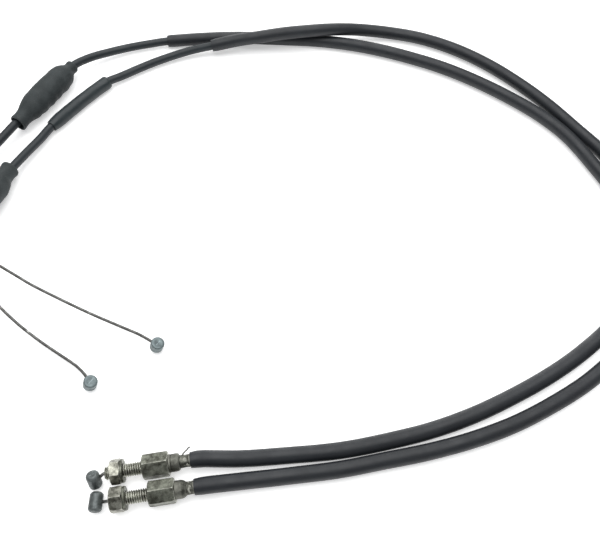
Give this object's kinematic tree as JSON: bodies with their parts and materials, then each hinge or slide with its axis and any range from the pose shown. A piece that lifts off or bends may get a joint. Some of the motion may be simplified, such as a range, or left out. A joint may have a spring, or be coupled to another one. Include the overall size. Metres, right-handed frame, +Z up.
{
  "type": "throttle cable pair",
  "caption": "Pair of twin-grip throttle cables with threaded carburettor adjusters, sleeved casings, booted in-line adjusters, elbow pipes and free nippled wires.",
  "frame": {"origin": "centre of the base of the box around the metal and rubber fittings, on the surface that the cables lie on", "axes": "+Z up, +Y from the carburettor ends towards the boots, +X towards the loop of the cables"},
  "size_m": [0.3896, 0.3016, 0.0187],
  "materials": {
    "plated_steel": "tarnished zinc plate, olive grey with bright worn edges",
    "plated_nut": "zinc plate, brighter facets with grime in the corners",
    "cast_nipple": "matte cast zinc",
    "bright_nipple": "bright cast zinc with tooling marks",
    "wire": "stranded galvanised steel",
    "armour_steel": "flat steel strip wound as a coil",
    "sleeve_plastic": "satin blue-black vinyl sleeve",
    "casing_plastic": "satin blue-black jacket",
    "shrink_plastic": "satin shrink tube with a soft ripple",
    "boot_rubber": "matte dusty rubber with soft lumps",
    "liner_plastic": "low-friction liner"
  },
  "bodies": {
    "root": {"pull_carb_ferrule": "plated_steel", "pull_sleeve": "sleeve_plastic", "pull_jacket": "casing_plastic", "pull_armour": "armour_steel", "pull_liner": "liner_plastic", "pull_wire_core": "wire", "pull_inline_bolt": "plated_steel", "pull_inline_ferrule": "plated_steel", "pull_grip_jacket": "casing_plastic", "pull_grip_armour": "armour_steel", "pull_grip_liner": "liner_plastic", "pull_elbow_collar": "plated_steel", "pull_elbow_pipe": "plated_steel", "return_carb_ferrule": "plated_steel", "return_sleeve": "sleeve_plastic", "return_jacket": "casing_plastic", "return_armour": "armour_steel", "return_liner": "liner_plastic", "return_wire_core": "wire", "return_shrink_sleeve": "shrink_plastic", "return_inline_bolt": "plated_steel", "return_inline_ferrule": "plated_steel", "return_elbow_pipe": "plated_steel"},
    "pull_wire_out": {"pull_carb_nipple": "cast_nipple", "pull_wire_carb_end": "wire"},
    "pull_wire_in": {"pull_wire_grip_end": "wire", "pull_grip_nipple": "bright_nipple"},
    "pull_adjuster_body": {"pull_adjuster": "plated_steel", "pull_end_cap": "plated_steel"},
    "pull_washer": {"pull_lock_washer": "plated_steel"},
    "pull_nut": {"pull_locknut": "plated_nut"},
    "pull_union": {"pull_union_nut": "plated_nut"},
    "pull_boot_body": {"pull_boot": "boot_rubber"},
    "pull_inline_barrel_body": {"pull_inline_barrel": "plated_steel"},
    "pull_inline_nut": {"pull_inline_locknut": "plated_nut"},
    "return_wire_out": {"return_carb_nipple": "cast_nipple", "return_wire_carb_end": "wire"},
    "return_wire_in": {"return_wire_grip_end": "wire", "return_grip_nipple": "bright_nipple"},
    "return_adjuster_body": {"return_adjuster": "plated_steel", "return_end_cap": "plated_steel"},
    "return_washer": {"return_lock_washer": "plated_steel"},
    "return_nut": {"return_locknut": "plated_nut"},
    "return_union": {"return_union_nut": "plated_nut"},
    "return_boot_body": {"return_boot": "boot_rubber"},
    "return_inline_barrel_body": {"return_inline_barrel": "plated_steel"},
    "return_inline_nut": {"return_inline_locknut": "plated_nut"}
  },
  "joints": [
    {"name": "pull_wire_slide", "type": "slide", "parent": "root", "child": "pull_wire_out", "axis": [-0.9877, -0.1564, 0], "range_m": [0, 0.024]},
    {"name": "pull_grip_wire_slide", "type": "slide", "parent": "root", "child": "pull_wire_in", "axis": [-0.8572, 0.515, 0], "range_m": [0, 0.024]},
    {"name": "pull_adjuster_spin", "type": "hinge", "parent": "root", "child": "pull_adjuster_body", "pos_m": [0.0373, -0.1166, 0.0059], "axis": [0.9877, 0.1564, 0], "continuous": true},
    {"name": "pull_washer_slide", "type": "slide", "parent": "pull_adjuster_body", "child": "pull_washer", "axis": [0.9877, 0.1564, 0], "range_m": [-0.002, 0.008]},
    {"name": "pull_locknut_turn", "type": "hinge", "parent": "pull_washer", "child": "pull_nut", "pos_m": [0.0373, -0.1166, 0.0059], "axis": [0.9877, 0.1564, 0], "range_deg": [-722, 2882]},
    {"name": "pull_union_nut_spin", "type": "hinge", "parent": "root", "child": "pull_union", "pos_m": [-0.03936, -0.00742, 0.007], "axis": [0.8572, -0.515, 0], "continuous": true},
    {"name": "pull_boot_slide", "type": "slide", "parent": "root", "child": "pull_boot_body", "axis": [-0.4772, -0.8788, 0], "range_m": [0, 0.006]},
    {"name": "pull_inline_barrel_turn", "type": "hinge", "parent": "root", "child": "pull_inline_barrel_body", "pos_m": [-0.0181, 0.1311, 0.0078], "axis": [-0.4772, -0.8788, 0], "range_deg": [-180, 180]},
    {"name": "pull_inline_locknut_turn", "type": "hinge", "parent": "root", "child": "pull_inline_nut", "pos_m": [-0.0181, 0.1311, 0.0078], "axis": [-0.4772, -0.8788, 0], "range_deg": [-180, 180]},
    {"name": "return_wire_slide", "type": "slide", "parent": "root", "child": "return_wire_out", "axis": [-0.9877, -0.1564, 0], "range_m": [0, 0.024]},
    {"name": "return_grip_wire_slide", "type": "slide", "parent": "root", "child": "return_wire_in", "axis": [-0.7139, 0.6775, 0.1771], "range_m": [0, 0.024]},
    {"name": "return_adjuster_spin", "type": "hinge", "parent": "root", "child": "return_adjuster_body", "pos_m": [0.0411, -0.12805, 0.0059], "axis": [0.9877, 0.1564, 0], "continuous": true},
    {"name": "return_washer_slide", "type": "slide", "parent": "return_adjuster_body", "child": "return_washer", "axis": [0.9877, 0.1564, 0], "range_m": [0, 0.009]},
    {"name": "return_locknut_turn", "type": "hinge", "parent": "return_washer", "child": "return_nut", "pos_m": [0.0411, -0.12805, 0.0059], "axis": [0.9877, 0.1564, 0], "range_deg": [-2, 3242]},
    {"name": "return_union_nut_spin", "type": "hinge", "parent": "root", "child": "return_union", "pos_m": [-0.03393, -0.02842, 0.00752], "axis": [0.7139, -0.6775, -0.1771], "continuous": true},
    {"name": "return_boot_slide", "type": "slide", "parent": "root", "child": "return_boot_body", "axis": [0.3473, 0.9289, -0.1288], "range_m": [0, 0.006]},
    {"name": "return_inline_barrel_turn", "type": "hinge", "parent": "root", "child": "return_inline_barrel_body", "pos_m": [-0.0561, 0.008, 0.0125], "axis": [0.3473, 0.9289, -0.1288], "range_deg": [-180, 180]},
    {"name": "return_inline_locknut_turn", "type": "hinge", "parent": "root", "child": "return_inline_nut", "pos_m": [-0.0561, 0.008, 0.0125], "axis": [0.3473, 0.9289, -0.1288], "range_deg": [-180, 180]}
  ],
  "couplings": [
    {"joint": "pull_grip_wire_slide", "follows": "pull_wire_slide", "ratio": 1},
    {"joint": "pull_locknut_turn", "follows": "pull_washer_slide", "rad_per_m": 6283.2},
    {"joint": "return_grip_wire_slide", "follows": "return_wire_slide", "ratio": 1},
    {"joint": "return_locknut_turn", "follows": "return_washer_slide", "rad_per_m": 6283.2}
  ]
}
